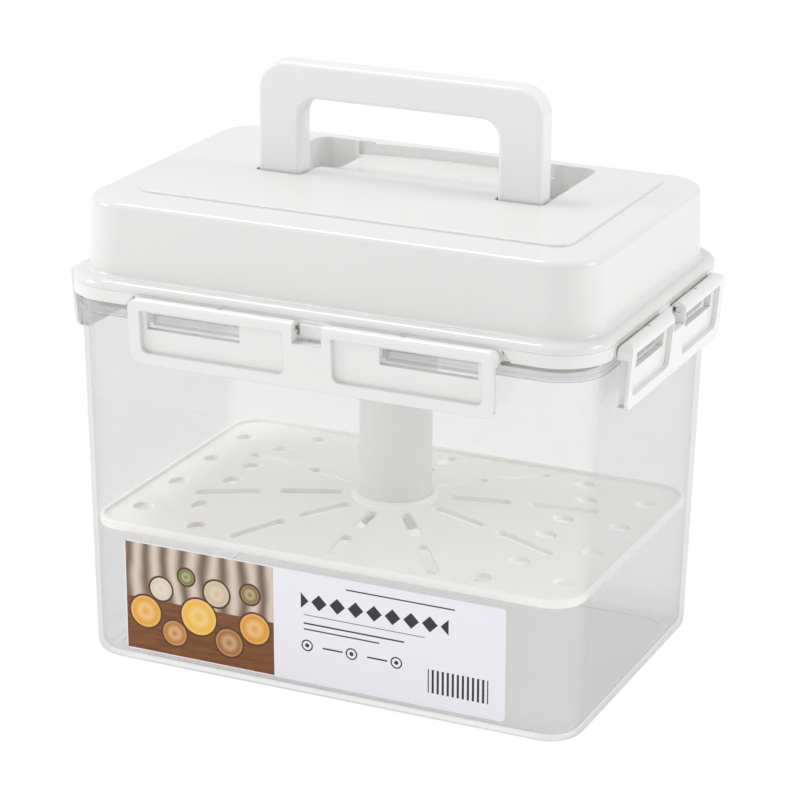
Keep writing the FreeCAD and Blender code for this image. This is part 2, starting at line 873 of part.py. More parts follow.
def joins_flange(edge):
    """The concave line where the dome's wall meets the flange."""
    middle = edge.BoundBox.Center
    inside = abs(middle.x) < dome_half_x.value + TOUCH and abs(middle.y) < dome_half_y.value + TOUCH
    return is_level(edge, flange_top.value) and inside


cover_outside = fillet("cover_foot_round", cover_outside, at.dome_foot_round, joins_flange)
flange_inside = block(
    "cover_flange_inside",
    skirt_half_x + at.cover_fit,
    skirt_half_y + at.cover_fit,
    skirt_corner + at.cover_fit,
    (flange_split - CUT_MARGIN, flange_top - at.cover_wall),
)
dome_inside = block(
    "cover_dome_inside",
    dome_half_x - at.cover_wall,
    dome_half_y - at.cover_wall,
    dome_corner - at.cover_wall,
    (flange_split - CUT_MARGIN, dome_top - at.cover_wall),
    -at.dome_draft_deg,
)
dome_inside = fillet(
    "cover_dome_inside_round",
    dome_inside,
    at.dome_round - at.cover_wall,
    lambda edge: is_level(edge, (dome_top - at.cover_wall).value),
)
shell = cut("cover_shell", cover_outside, [flange_inside, dome_inside])
pan_top = dome_top - at.cover_wall / 2.0
pan = [
    channel("pan_left", -1.0, at.cover_wall, pan_top),
    channel("pan_right", 1.0, at.cover_wall, pan_top),
    trough("pan_middle", channel_in, at.cover_wall, pan_top),
]
pin_inner = channel_in - at.cover_wall
pin_length = channel_out - channel_in + at.cover_wall * 2.0
bosses = []
for side, sign in (("left", -1.0), ("right", 1.0)):
    start = pin_inner - at.cover_wall if sign > 0 else -(pin_inner + pin_length + at.cover_wall)
    bosses.append(
        cylinder(
            "pin_boss_" + side,
            at.pin_boss,
            pin_length + at.cover_wall * 2.0,
            start,
            pivot_y,
            pivot_z,
            ALONG_X,
        )
    )
boss_limit = block(
    "boss_limit",
    dome_half_x - at.cover_wall,
    dome_half_y - at.cover_wall,
    dome_corner - at.cover_wall,
    (recess_floor - at.cover_wall, pan_top),
)
boss_group = fuse("boss_group", bosses)
bosses_inside = common("bosses_inside", boss_group, boss_limit)
cover_solid = fuse("cover_solid", [shell] + pan + [bosses_inside])
recess_top = panel_top + CUT_MARGIN
recess = [
    channel("recess_left", -1.0, NONE, recess_top),
    channel("recess_right", 1.0, NONE, recess_top),
    trough("recess_middle", channel_in + at.recess_front_corner, NONE, recess_top),
]
pin_holes = []
for side, sign in (("left", -1.0), ("right", 1.0)):
    start = pin_inner if sign > 0 else -(pin_inner + pin_length)
    pin_hole = cylinder("pin_hole_" + side, at.pin_radius, pin_length, start, pivot_y, pivot_z, ALONG_X)
    pin_holes.append(pin_hole)
finish("lid_cover", cut("lid_cover_cut", cover_solid, recess + pin_holes))

# Handle pins: short rods pressed into the recess walls, one through each foot of the handle
for side, sign in (("left", -1.0), ("right", 1.0)):
    start = pin_inner if sign > 0 else -(pin_inner + pin_length)
    pin = cylinder("pin_" + side, at.pin_radius, pin_length, start, pivot_y, pivot_z, ALONG_X)
    finish("handle_pin_" + side, pin)

# Handle: a moulded bow with rounded corners, bored through both feet
bow_outside = box(
    "handle_outside",
    (-at.handle_half_x, at.handle_half_x),
    (handle_front, handle_back),
    (pivot_z, handle_top),
)
bow_outside = fillet(
    "handle_outer_corner",
    bow_outside,
    at.handle_corner,
    lambda edge: runs_along(edge, 1) and is_level(edge, handle_top.value),
)
bow_opening = box(
    "handle_opening",
    (-opening_half, opening_half),
    (handle_front - CUT_MARGIN, handle_back + CUT_MARGIN),
    (pivot_z - at.handle_thick, opening_top),
)
bow_opening = fillet(
    "handle_inner_corner_cut",
    bow_opening,
    at.handle_inner_corner,
    lambda edge: runs_along(edge, 1) and is_level(edge, opening_top.value),
)
bow = cut("handle_bow", bow_outside, [bow_opening])


def is_bow_edge(edge):
    """The long edges of the front and back faces, above the feet."""
    box_of = edge.BoundBox
    faces = (handle_front.value, handle_back.value)
    on_face = min(abs(box_of.YMin - face) + abs(box_of.YMax - face) for face in faces)
    return on_face < EDGE_REACH and box_of.ZMax > pivot_z.value + EDGE_REACH


bow = fillet("handle_soft_edges", bow, at.handle_edge, is_bow_edge)
feet = []
foot_holes = []
for side, sign in (("left", -1.0), ("right", 1.0)):
    start = opening_half if sign > 0 else -at.handle_half_x
    foot = cylinder("foot_" + side, handle_half_thick, at.handle_leg, start, at.handle_y, pivot_z, ALONG_X)
    feet.append(foot)
    foot_holes.append(
        cylinder(
            "foot_hole_" + side,
            at.pin_radius + at.pin_gap,
            at.handle_leg + 2 * CUT_MARGIN,
            start - CUT_MARGIN,
            pivot_y,
            pivot_z,
            ALONG_X,
        )
    )
handle = fuse("handle_solid", [bow] + feet)
finish("handle", cut("handle_cut", handle, foot_holes))


# Latches: four flaps that hang on the bars, each with two pockets, two windows and a middle notch
def latch(name, length):
    """One flap in its own frame: X along it, +Y outwards from the flange's face."""
    half = latch_half(length)
    knuckle = at.latch_knuckle
    outer_top = hinge_out + knuckle
    outer_foot = at.latch_gap + at.latch_foot_thick
    deep = (PAST_ZERO, outer_top + CUT_MARGIN)
    corners = [
        (at.latch_gap, latch_bottom),
        (outer_foot, latch_bottom),
        (outer_top, hinge_z),
        (at.latch_gap, hinge_z),
    ]
    flap = extrude(name + "_flap", polygon(name + "_section", corners, -half), half * 2.0, Vector(1, 0, 0))
    top = cylinder(name + "_top", knuckle, half * 2.0, -half, hinge_out, hinge_z, ALONG_X)
    body = fuse(name + "_body", [flap, top])
    middle_z = (hinge_z + knuckle + latch_bottom) / 2.0
    halves = []
    for title, corner, z in (
        ("low", at.latch_corner, (latch_bottom - CUT_MARGIN, middle_z)),
        ("high", at.latch_top_corner, (middle_z, hinge_z + knuckle + CUT_MARGIN)),
    ):
        plan = block(
            "%s_%s_plan" % (name, title),
            half,
            (hinge_z + knuckle - latch_bottom) / 2.0,
            corner,
            (NONE, outer_top + CUT_MARGIN),
        )
        upright = doc.addObject("Part::Compound", "%s_%s_upright" % (name, title))
        upright.Links = [plan]
        place(upright, 0.0, outer_top + CUT_MARGIN, middle_z, Rotation(Vector(1, 0, 0), QUARTER_TURN))
        reach = box("%s_%s_reach" % (name, title), (-half - CUT_MARGIN, half + CUT_MARGIN), deep, z)
        halves.append(common("%s_%s_half" % (name, title), upright, reach))
    body = common(name + "_rounded", body, fuse(name + "_keep", halves))

    pocket_middle = at.pocket_middle_long if length == "long" else at.pocket_middle_short
    window_inner, window_outer = window_span(length)
    pocket_bottom = latch_bottom + at.pocket_above_foot
    pocket_top = hinge_z - at.pocket_below_hinge
    window_bottom = band_bottom - at.window_below_lug
    window_top = hinge_z - at.window_below_hinge
    notch_bottom = hinge_z - at.notch_depth
    slope = (outer_top - outer_foot) / (hinge_z - latch_bottom)
    floor_low = outer_foot + slope * (pocket_bottom - latch_bottom) - at.pocket_depth
    floor_high = outer_foot + slope * (pocket_top - latch_bottom) - at.pocket_depth
    pocket_section = [
        (floor_low, pocket_bottom),
        (outer_top + CUT_MARGIN, pocket_bottom),
        (outer_top + CUT_MARGIN, pocket_top),
        (floor_high, pocket_top),
    ]
    tools = []
    pocket_width = half - at.pocket_inset - pocket_middle
    for side, start in (("a", pocket_middle), ("b", -(half - at.pocket_inset))):
        section = polygon("%s_pocket_section_%s" % (name, side), pocket_section, start)
        pocket = extrude("%s_pocket_%s" % (name, side), section, pocket_width, Vector(1, 0, 0))
        pocket = fillet(
            "%s_pocket_round_%s" % (name, side),
            pocket,
            at.pocket_corner,
            lambda edge: runs_along(edge, 1) and is_level(edge, pocket_bottom.value),
        )
        tools.append(pocket)
    for side, x in (("a", (window_inner, window_outer)), ("b", (-window_outer, -window_inner))):
        tools.append(box("%s_window_%s" % (name, side), x, deep, (window_bottom, window_top)))
    top_z = hinge_z + knuckle + CUT_MARGIN
    tools.append(box(name + "_notch", (-at.notch_half, at.notch_half), deep, (notch_bottom, top_z)))
    relief_half = half - at.latch_end_wall
    bore_half = relief_half + at.bar_end_gap
    tools.append(
        box(
            name + "_relief",
            (-relief_half, relief_half),
            (PAST_ZERO, at.latch_gap + at.latch_relief),
            (latch_bottom - CUT_MARGIN, window_top),
        )
    )
    tools.append(
        cylinder(
            name + "_bore", at.bar_radius + at.bar_gap, bore_half * 2.0, -bore_half,
            hinge_out, hinge_z, ALONG_X,
        )
    )
    tools.append(
        box(
            name + "_mouth",
            (-bore_half, bore_half),
            (PAST_ZERO, hinge_out),
            (hinge_z - at.clip_mouth / 2.0, hinge_z + at.clip_mouth / 2.0),
        )
    )
    slot_front = hinge_out + at.bracket_gap
    reach = at.bracket_half + at.bracket_gap
    for index, centre in enumerate(bracket_centres(length)):
        tools.append(
            box(
                "%s_slot_%d" % (name, index),
                (centre - reach, centre + reach),
                (PAST_ZERO, slot_front),
                (window_top, top_z),
            )
        )
    hollow_low = latch_bottom + at.end_hollow_foot
    hollow_high = hinge_z - at.end_hollow_head
    skin_low = outer_foot + slope * (hollow_low - latch_bottom) - at.latch_skin
    skin_high = outer_foot + slope * (hollow_high - latch_bottom) - at.latch_skin
    hollow_section = [
        (deep[0], hollow_low),
        (skin_low, hollow_low),
        (skin_high, hollow_high),
        (deep[0], hollow_high),
    ]
    hollow_width = at.pocket_inset - at.latch_skin + CUT_MARGIN
    for side, start in (("a", half + CUT_MARGIN - hollow_width), ("b", -half - CUT_MARGIN)):
        section = polygon("%s_end_section_%s" % (name, side), hollow_section, start)
        tools.append(extrude("%s_end_hollow_%s" % (name, side), section, hollow_width, Vector(1, 0, 0)))
    return cut(name + "_cut", body, tools)


for side, piece in around("latch", latch).items():
    finish("latch_" + side, piece)

# Press column: a sleeve fixed to the lid, a capped spring inside it, and the tube that slides in it
sleeve_bottom = web_bottom - at.sleeve_reach
sleeve_top = tongue_low - at.cover_wall - at.cap_room - at.cap_thick
hub_top = sleeve_bottom - at.tube_reach
plate_top = hub_top - at.hub_above_plate
plate_bottom = plate_top - at.plate_thick
sleeve_bore = at.sleeve_radius - at.sleeve_wall
sleeve_outer = cylinder("sleeve_outer", at.sleeve_radius, sleeve_top - sleeve_bottom, z=sleeve_bottom)
sleeve_flange = cylinder(
    "sleeve_flange_disc", at.sleeve_radius + at.sleeve_flange, at.sleeve_flange_thick, z=web_top
)
sleeve_bore_cut = cylinder(
    "sleeve_bore_cut", sleeve_bore, sleeve_top - sleeve_bottom, z=sleeve_bottom + at.sleeve_lip
)
sleeve_mouth_cut = cylinder(
    "sleeve_mouth_cut", at.tube_radius + at.tube_slide_gap, at.sleeve_lip + 2 * CUT_MARGIN,
    z=sleeve_bottom - CUT_MARGIN,
)
sleeve = fuse("sleeve_solid", [sleeve_outer, sleeve_flange])
finish("column_sleeve", cut("sleeve", sleeve, [sleeve_bore_cut, sleeve_mouth_cut]))

cap_disc = cylinder("cap_disc", at.sleeve_radius, at.cap_thick, z=sleeve_top)
cap_plug = cylinder("cap_plug_disc", sleeve_bore - at.sleeve_fit, at.cap_plug, z=sleeve_top - at.cap_plug)
finish("sleeve_cap", fuse("sleeve_cap_solid", [cap_disc, cap_plug]))

socket_floor = hub_top - at.hub_socket
tube_top = sleeve_bottom + at.tube_overlap
tube_outer = cylinder("tube_outer", at.tube_radius, tube_top - socket_floor, z=socket_floor)
tube_bead = cylinder(
    "tube_bead", sleeve_bore - at.tube_slide_gap / 2.0, at.tube_bead_height,
    z=sleeve_bottom + at.sleeve_lip + at.bead_gap,
)
tube_stem = cylinder("tube_stem", at.stem_radius, at.stem_length, z=socket_floor - at.stem_length)
tube_bore = cylinder(
    "tube_bore", at.tube_radius - at.tube_wall, tube_top - socket_floor, z=socket_floor + at.tube_floor
)
tube = fuse("tube_solid", [tube_outer, tube_bead, tube_stem])
finish("press_tube", cut("tube", tube, [tube_bore]))

# Spring: round wire wound on a helix between the tube's floor and the cap's plug
spring_bottom = socket_floor + at.tube_floor + at.spring_wire + at.spring_gap
spring_height = sleeve_top - at.cap_plug - spring_bottom - at.spring_wire - at.spring_gap
coil = doc.addObject("Part::Helix", "spring_path")
coil.Radius = at.spring_radius.value
coil.Height = spring_height.value
coil.Pitch = (spring_height / at.spring_turns).value
bind(coil, "Radius", at.spring_radius)
bind(coil, "Height", spring_height)
bind(coil, "Pitch", spring_height / at.spring_turns)
wire_circle = doc.addObject("Part::Circle", "spring_section")
wire_circle.Radius = at.spring_wire.value
bind(wire_circle, "Radius", at.spring_wire)
place(wire_circle, at.spring_radius, 0.0, 0.0, Rotation(Vector(1, 0, 0), QUARTER_TURN))
doc.recompute()
wound = doc.addObject("Part::Sweep", "spring_wound")
wound.Sections = [wire_circle]
wound.Spine = (coil, ["Edge1"])
wound.Solid = True
wound.Frenet = True
spring = doc.addObject("Part::Compound", "spring_place")
spring.Links = [wound]
place(spring, z=spring_bottom)
finish("press_spring", spring)

# Strainer plate: crowned and perforated, with a raised rim and a hub that takes the tube
wall_at_plate = foot_inset - draft * plate_bottom + at.tub_wall + at.plate_gap
plate_half_x = at.tub_half_x - wall_at_plate
plate_half_y = at.tub_half_y - wall_at_plate
plate_corner = at.tub_corner - wall_at_plate
rim_top = plate_bottom + at.plate_rim_height
plate_slab = block("plate_slab", plate_half_x, plate_half_y, plate_corner, (plate_bottom, rim_top))
plate_slab = fillet(
    "plate_rim_round", plate_slab, at.plate_rim_round, lambda edge: is_level(edge, rim_top.value)
)
plate_hollow = block(
    "plate_hollow",
    plate_half_x - at.plate_rim_wall,
    plate_half_y - at.plate_rim_wall,
    plate_corner - at.plate_rim_wall,
    (plate_top, rim_top + CUT_MARGIN),
)
tray = cut("plate_tray", plate_slab, [plate_hollow])


def crown(name, drop):
    """A shallow cap of an ellipsoid over the plate, lowered by a wall's thickness."""
    level = plate_top + at.crown_rise - at.crown_depth - drop
    cosine = (at.crown_depth - at.crown_rise).value / at.crown_depth.value
    spread = 1.0 / math.sqrt(1.0 - cosine * cosine)
    cap = doc.addObject("Part::Ellipsoid", name + "_form")
    for title, size in (
        ("Radius1", at.crown_depth),
        ("Radius2", (plate_half_x - at.plate_rim_wall) * spread),
        ("Radius3", (plate_half_y - at.plate_rim_wall) * spread),
    ):
        setattr(cap, title, size.value)
        bind(cap, title, size)
    place(cap, z=level)
    reach = block(
        name + "_reach",
        plate_half_x - at.plate_rim_wall,
        plate_half_y - at.plate_rim_wall,
        plate_corner - at.plate_rim_wall,
        (plate_bottom - CUT_MARGIN if drop.value else plate_bottom, plate_top + at.crown_rise + CUT_MARGIN),
    )
    return common(name, cap, reach)


crown_outside = crown("crown_outside", NONE)
crown_inside = crown("crown_inside", at.plate_thick)
hub_radius = at.tube_radius + at.hub_fit + at.hub_wall
hub_bottom = socket_floor - at.hub_floor
hub = cylinder("plate_hub", hub_radius, hub_top - hub_bottom, z=hub_bottom)
hub = fillet("plate_hub_round", hub, at.hub_edge_round, lambda edge: is_level(edge, hub_top.value))
hub_foot = doc.addObject("Part::Cone", "plate_hub_foot")
hub_foot.Radius1 = (hub_radius + at.hub_round).value
hub_foot.Radius2 = hub_radius.value
hub_foot.Height = at.hub_round.value
bind(hub_foot, "Radius1", hub_radius + at.hub_round)
bind(hub_foot, "Radius2", hub_radius)
bind(hub_foot, "Height", at.hub_round)
place(hub_foot, z=plate_top + at.crown_rise - at.hub_round / 2.0)

slots = []
slot_start = hub_radius + at.slot_start
for index in range(SLOT_COUNT):
    angle = 4.0 * QUARTER_TURN / SLOT_COUNT * (index + 0.5)
    cosine = abs(math.cos(math.radians(angle)))
    sine = abs(math.sin(math.radians(angle)))
    if cosine > sine + END_SLOT_LEAD:
        slot_end = plate_half_x - at.slot_end_margin
    else:
        slot_end = (plate_half_y - at.slot_side_margin) / sine
    inner_end = slot_start + (slot_end - slot_start) * SLOT_INNER_SHARE
    outer_start = inner_end + at.slot_bridge
    for part, start, end in (("inner", slot_start, inner_end), ("outer", outer_start, slot_end)):
        title = "slot_%s_%d" % (part, index)
        bar_shape = block(
            title,
            (end - start) / 2.0,
            at.slot_half_width,
            at.slot_half_width * SLOT_CORNER_SHARE,
            (plate_bottom - CUT_MARGIN, hub_top + CUT_MARGIN),
            centre=((start + end) / 2.0, 0.0),
        )
        turned = doc.addObject("Part::Compound", title + "_turned")
        turned.Links = [bar_shape]
        place(turned, turn=Rotation(Vector(0, 0, 1), angle))
        slots.append(turned)
holes = []
for title, x, y in (
    ("corner", plate_half_x - at.hole_corner_margin, plate_half_y - at.hole_corner_side),
    ("end_far", plate_half_x - at.hole_end_margin, plate_half_y - at.hole_end_side),
    ("end_near", plate_half_x - at.hole_end_margin, at.hole_end_near),
    ("middle_far", plate_half_x - at.hole_middle_margin, plate_half_y - at.hole_middle_side),
    ("middle_near", plate_half_x - at.hole_middle_margin, at.hole_middle_near),
):
    for index, (sign_x, sign_y) in enumerate(((1, 1), (1, -1), (-1, 1), (-1, -1))):
        holes.append(
            cylinder(
                "hole_%s_%d" % (title, index),
                at.hole_radius,
                at.plate_thick + at.crown_rise + 4 * CUT_MARGIN,
                x * sign_x,
                y * sign_y,
                plate_bottom - CUT_MARGIN * 2,
            )
        )
openings = fuse("plate_openings", slots + holes)
sheet_part = cut("plate_sheet", fuse("plate_crowned", [tray, crown_outside]), [crown_inside, openings])
socket = cylinder("plate_socket", at.tube_radius + at.hub_fit, at.hub_socket + CUT_MARGIN, z=socket_floor)
stem_hole = cylinder("plate_stem_hole", at.stem_radius + at.hub_fit, hub_top, z=hub_bottom - CUT_MARGIN)
plate = fuse("plate_solid", [sheet_part, hub, hub_foot])
finish("strainer_plate", cut("plate", plate, [socket, stem_hole]))

# Nut: screwed on the tube's stem under the plate, so the plate comes off for washing
nut_outer = cylinder("nut_outer", at.nut_radius, at.nut_height, z=hub_bottom - at.nut_height)
nut_bore = cylinder(
    "nut_bore", at.stem_radius + at.nut_gap, at.nut_height + 2 * CUT_MARGIN,
    z=hub_bottom - at.nut_height - CUT_MARGIN,
)
finish("plate_nut", cut("nut", nut_outer, [nut_bore]))

# Check every feature, then write one file for each piece
doc.recompute()
for feature in doc.Objects:
    if "Invalid" in feature.State or "Error" in feature.State:
        raise RuntimeError("%s failed: %s" % (feature.Name, feature.State))
for name, piece in nodes.items():
    if piece.Shape.isNull() or not piece.Shape.isValid():
        raise RuntimeError("%s has no valid shape" % name)
    solids = piece.Shape.Solids
    if not solids:
        raise RuntimeError("%s holds no solid" % name)
    print("%s: %d solid(s), %.1f mm3" % (name, len(solids), piece.Shape.Volume))
os.makedirs("parts", exist_ok=True)
for name, piece in nodes.items():
    piece.Shape.exportStep("parts/%s.step" % name)
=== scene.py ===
import math

import bmesh
import bpy
from mathutils import Matrix, Vector


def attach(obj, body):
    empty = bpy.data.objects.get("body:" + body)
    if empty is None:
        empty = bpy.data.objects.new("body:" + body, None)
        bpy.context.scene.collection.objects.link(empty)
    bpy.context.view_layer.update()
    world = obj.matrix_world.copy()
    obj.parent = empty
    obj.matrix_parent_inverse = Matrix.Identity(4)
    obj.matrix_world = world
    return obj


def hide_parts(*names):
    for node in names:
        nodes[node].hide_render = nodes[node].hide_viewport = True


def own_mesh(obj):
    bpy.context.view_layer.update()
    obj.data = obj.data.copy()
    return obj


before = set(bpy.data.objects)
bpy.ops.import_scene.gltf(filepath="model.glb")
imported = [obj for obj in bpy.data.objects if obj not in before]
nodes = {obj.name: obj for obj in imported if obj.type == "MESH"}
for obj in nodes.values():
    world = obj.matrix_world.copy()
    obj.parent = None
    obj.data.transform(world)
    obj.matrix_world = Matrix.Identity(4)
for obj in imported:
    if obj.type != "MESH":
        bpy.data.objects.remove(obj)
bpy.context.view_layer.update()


# Tub
# One injection-moulded shell of clear styrene, 2 mm thick, with walls that lean outwards so that it
# leaves its tool. A band with two beads and the clips' lugs run round it under the rim.

MM = 0.001


def linear(hex_colour):
    """An sRGB hex colour as the linear colour that a shader takes."""
    channels = [int(hex_colour[i:i + 2], 16) / 255 for i in (1, 3, 5)]
    return [c / 12.92 if c <= 0.04045 else ((c + 0.055) / 1.055) ** 2.4 for c in channels] + [1.0]


def new_material(name):
    """An empty node material; returns the material, its tree and its output node."""
    material = bpy.data.materials.new(name)
    material.use_nodes = True
    tree = material.node_tree
    tree.nodes.clear()
    return material, tree, tree.nodes.new("ShaderNodeOutputMaterial")


def add(tree, kind, settings=(), inputs=(), links=()):
    """Adds a node with its settings, its input values and its links from (node, output) pairs."""
    node = tree.nodes.new(kind)
    for name, value in dict(settings).items():
        setattr(node, name, value)
    for name, value in dict(inputs).items():
        node.inputs[name].default_value = value
    for name, (source, output) in dict(links).items():
        tree.links.new(source.outputs[output], node.inputs[name])
    return node


def dress(material, *names):
    """Gives carried-over pieces their one material."""
    for name in names:
        mesh = nodes[name].data
        mesh.materials.clear()
        mesh.materials.append(material)


# Clear styrene from a polished tool. The eye sees through the walls, which get milky and shiny at a glancing
# angle and a little greyer towards the foot. The thick rim band and the lugs are painted silver grey, with
# streaks 1.4 mm apart along them: painted light that stands in for the light running through them lengthwise.
WALL_GREY, RIM_GREY, CLEAR, WHITE = "#B4B4B6", "#C0C1C4", "#FEFEFE", "#FFFFFF"
STYRENE_IOR = 1.57
HAZE_PATCH = 35 * MM
HAZE_SMOOTH, HAZE_DULL = 0.07, 0.14
MILKY_FACING, MILKY_GLANCING, MILKY_CURVE = 0.045, 0.42, 2.2
SHINE_FACING, SHINE_GLANCING, SHINE_CURVE = 0.04, 0.45, 5.0
STREAK, STREAK_STRETCH = 1.4 * MM, 0.03
STREAK_FAINT, STREAK_STRONG = 0.20, 0.48
NOISE_LOW, NOISE_HIGH = 0.3, 0.7
RIM_LEVEL, RIM_SOFTNESS = 153.6 * MM, 0.6 * MM
FOOT_LEVEL, FOOT_GREYING = 14.0 * MM, 0.10
# The colour sockets of a Mix node and its colour result, counted from 0
UNDER, OVER, MIXED = 6, 7, 2

clear_moulding, tree, output = new_material("clear_moulded_styrene")
point = add(tree, "ShaderNodeTexCoord")
axes = add(tree, "ShaderNodeSeparateXYZ", links={"Vector": (point, "Object")})
haze = add(tree, "ShaderNodeTexNoise", inputs={"Scale": 1 / HAZE_PATCH, "Detail": 3.0},
           links={"Vector": (point, "Object")})
rough = add(tree, "ShaderNodeMapRange", inputs={"To Min": HAZE_SMOOTH, "To Max": HAZE_DULL},
            links={"Value": (haze, "Fac")})
glance = add(tree, "ShaderNodeLayerWeight", inputs={"Blend": 0.5})
milky_rise = add(tree, "ShaderNodeMath", {"operation": "POWER"}, {1: MILKY_CURVE}, {0: (glance, "Facing")})
milky = add(tree, "ShaderNodeMapRange", inputs={"To Min": MILKY_FACING, "To Max": MILKY_GLANCING},
            links={"Value": (milky_rise, "Value")})
# Greyer towards the foot: the grey share rises below 14 mm
greyer_near_foot = add(tree, "ShaderNodeMapRange", {"interpolation_type": "SMOOTHSTEP"},
                 {"From Min": FOOT_LEVEL, "From Max": 0.0, "To Max": FOOT_GREYING}, {"Value": (axes, "Z")})
wall_share = add(tree, "ShaderNodeMath", {"operation": "ADD"},
                 links={0: (milky, "Result"), 1: (greyer_near_foot, "Result")})
# Painted light: along the rim band and the lugs the grey share rises in streaks 1.4 mm apart, standing in for
# light that runs through them lengthwise
stretch = add(tree, "ShaderNodeMapping", inputs={"Scale": (STREAK_STRETCH, STREAK_STRETCH, 1.0)},
              links={"Vector": (point, "Object")})
streaks = add(tree, "ShaderNodeTexNoise", inputs={"Scale": 1 / STREAK, "Detail": 2.0},
              links={"Vector": (stretch, "Vector")})
painted_light_streaks = add(tree, "ShaderNodeMapRange",
              inputs={"From Min": NOISE_LOW, "From Max": NOISE_HIGH,
                      "To Min": STREAK_FAINT, "To Max": STREAK_STRONG},
              links={"Value": (streaks, "Fac")})
at_rim = add(tree, "ShaderNodeMapRange", {"interpolation_type": "SMOOTHSTEP"},
             {"From Min": RIM_LEVEL - RIM_SOFTNESS, "From Max": RIM_LEVEL + RIM_SOFTNESS},
             {"Value": (axes, "Z")})
rim_painted_light = add(tree, "ShaderNodeMath", {"operation": "MULTIPLY"},
                links={0: (at_rim, "Result"), 1: (painted_light_streaks, "Result")})
share = add(tree, "ShaderNodeMath", {"operation": "MAXIMUM"}, links={0: (wall_share, 0), 1: (rim_painted_light, 0)})
tint = add(tree, "ShaderNodeMix", {"data_type": "RGBA"},
           {UNDER: linear(WALL_GREY), OVER: linear(RIM_GREY)}, {"Factor": (at_rim, "Result")})
cloud = add(tree, "ShaderNodeBsdfPrincipled", inputs={"IOR": STYRENE_IOR},
            links={"Roughness": (rough, "Result"), "Base Color": (tint, MIXED)})
clear = add(tree, "ShaderNodeBsdfTransparent", inputs={"Color": linear(CLEAR)})
cloudy = add(tree, "ShaderNodeMixShader", links={"Fac": (share, 0), 1: (clear, 0), 2: (cloud, 0)})
shine_rise = add(tree, "ShaderNodeMath", {"operation": "POWER"}, {1: SHINE_CURVE}, {0: (glance, "Facing")})
shine_share = add(tree, "ShaderNodeMapRange", inputs={"To Min": SHINE_FACING, "To Max": SHINE_GLANCING},
                  links={"Value": (shine_rise, "Value")})
shine = add(tree, "ShaderNodeBsdfGlossy", links={"Roughness": (rough, "Result")})
wall = add(tree, "ShaderNodeMixShader", links={"Fac": (shine_share, 0), 1: (cloudy, 0), 2: (shine, 0)})
# The lamps and the light between pieces pass the walls freely, as they do through clear plastic
ray = add(tree, "ShaderNodeLightPath")
lighting = add(tree, "ShaderNodeMath", {"operation": "MAXIMUM"},
               links={0: (ray, "Is Shadow Ray"), 1: (ray, "Is Diffuse Ray")})
lets_in = add(tree, "ShaderNodeBsdfTransparent", inputs={"Color": linear(WHITE)})
surface = add(tree, "ShaderNodeMixShader", links={"Fac": (lighting, 0), 1: (wall, 0), 2: (lets_in, 0)})
tree.links.new(surface.outputs[0], output.inputs["Surface"])
dress(clear_moulding, "container")


# Label
# A printed paper sticker, stuck on the front wall. Its print is a design of the part's own: a warm block
# of round slices on a board at the left, and rules, diamonds, rings and stripes on white at the right.

# Places on the label, in millimetres to the right of the tub's middle and up from its foot
LABEL_LEFT, LABEL_RIGHT = -89.9, 82.0
LABEL_FOOT, LABEL_HEAD = 6.9, 56.2
LABEL_MARGIN = 0.5
PICTURE_RIGHT = -20.7
PAPER, INK = "#EEEEF4", "#2B2A2C"
BOARD_TOP = 31.0
WOOD_DARK, WOOD_LIGHT = "#3E200C", "#9C5F2B"
FOLD_DARK, FOLD_LIGHT = "#7A6453", "#D9C9BA"
# Each slice has its place, its radius and its colour, with pale flesh between rings and a brown skin
SLICES = (
    (-80.5, 25.0, 7.5, "#E8A52A"), (-67.0, 17.5, 6.0, "#C07A26"), (-55.5, 27.0, 8.5, "#F0B93C"),
    (-41.5, 18.0, 6.6, "#A8662A"), (-29.5, 26.5, 7.2, "#E19A24"), (-73.0, 36.5, 5.5, "#D8CFC0"),
    (-47.0, 39.0, 6.2, "#CDBBA5"), (-31.5, 41.5, 4.6, "#8A6A3A"), (-61.0, 44.0, 4.0, "#6E7A3C"),
)
FLESH, SKIN = "#FFF0C8", "#5A3415"
FLESH_RING, SKIN_HALF = 0.36, 0.45
# Each rule has its middle, half its length and half its height
RULES = (
    (20.0, 37.4, 27.0, 0.15), (15.5, 33.6, 22.5, 0.35), (36.0, 51.8, 24.0, 0.30),
    (10.0, 31.0, 17.0, 0.30), (6.0, 23.8, 4.5, 0.35), (26.0, 23.8, 4.5, 0.35),
)
RING_PLACES, RING_LEVEL = (-5.5, 14.5, 34.5), 23.8
RING_RADIUS, RING_HALF, DOT_RADIUS = 2.3, 0.3, 0.9
DIAMOND_PITCH, DIAMOND_HALF, DIAMOND_LEVEL = 8.2, 3.5, 43.6
DIAMOND_FIELD = (24.6, DIAMOND_LEVEL, 32.8, 4.0)
STRIPE_PITCH, STRIPE_HALF = 2.2, 0.5
STRIPE_FIELD = (61.6, 18.6, 13.2, 5.2)

printed_paper, tree, output = new_material("printed_paper_sticker")
point = add(tree, "ShaderNodeTexCoord")
axes = add(tree, "ShaderNodeSeparateXYZ", links={"Vector": (point, "Object")})
flat = add(tree, "ShaderNodeCombineXYZ", links={"X": (axes, "X"), "Y": (axes, "Z")})


def print_over(under, over, mask):
    """Prints one colour or picture over another where the mask is 1."""
    colours = {UNDER: under, OVER: over}
    links = {socket: ink for socket, ink in colours.items() if isinstance(ink, tuple)}
    inputs = {socket: linear(ink) for socket, ink in colours.items() if socket not in links}
    return add(tree, "ShaderNodeMix", {"data_type": "RGBA"}, inputs, {**links, "Factor": mask}), MIXED


def rectangle(x, z, half_x, half_z):
    """The mask of an upright rectangle on the label."""
    across = add(tree, "ShaderNodeMath", {"operation": "COMPARE"}, {1: x * MM, 2: half_x * MM},
                 {0: (axes, "X")})
    upwards = add(tree, "ShaderNodeMath", {"operation": "COMPARE"}, {1: z * MM, 2: half_z * MM},
                  {0: (axes, "Z")})
    return add(tree, "ShaderNodeMath", {"operation": "MULTIPLY"}, links={0: (across, 0), 1: (upwards, 0)})


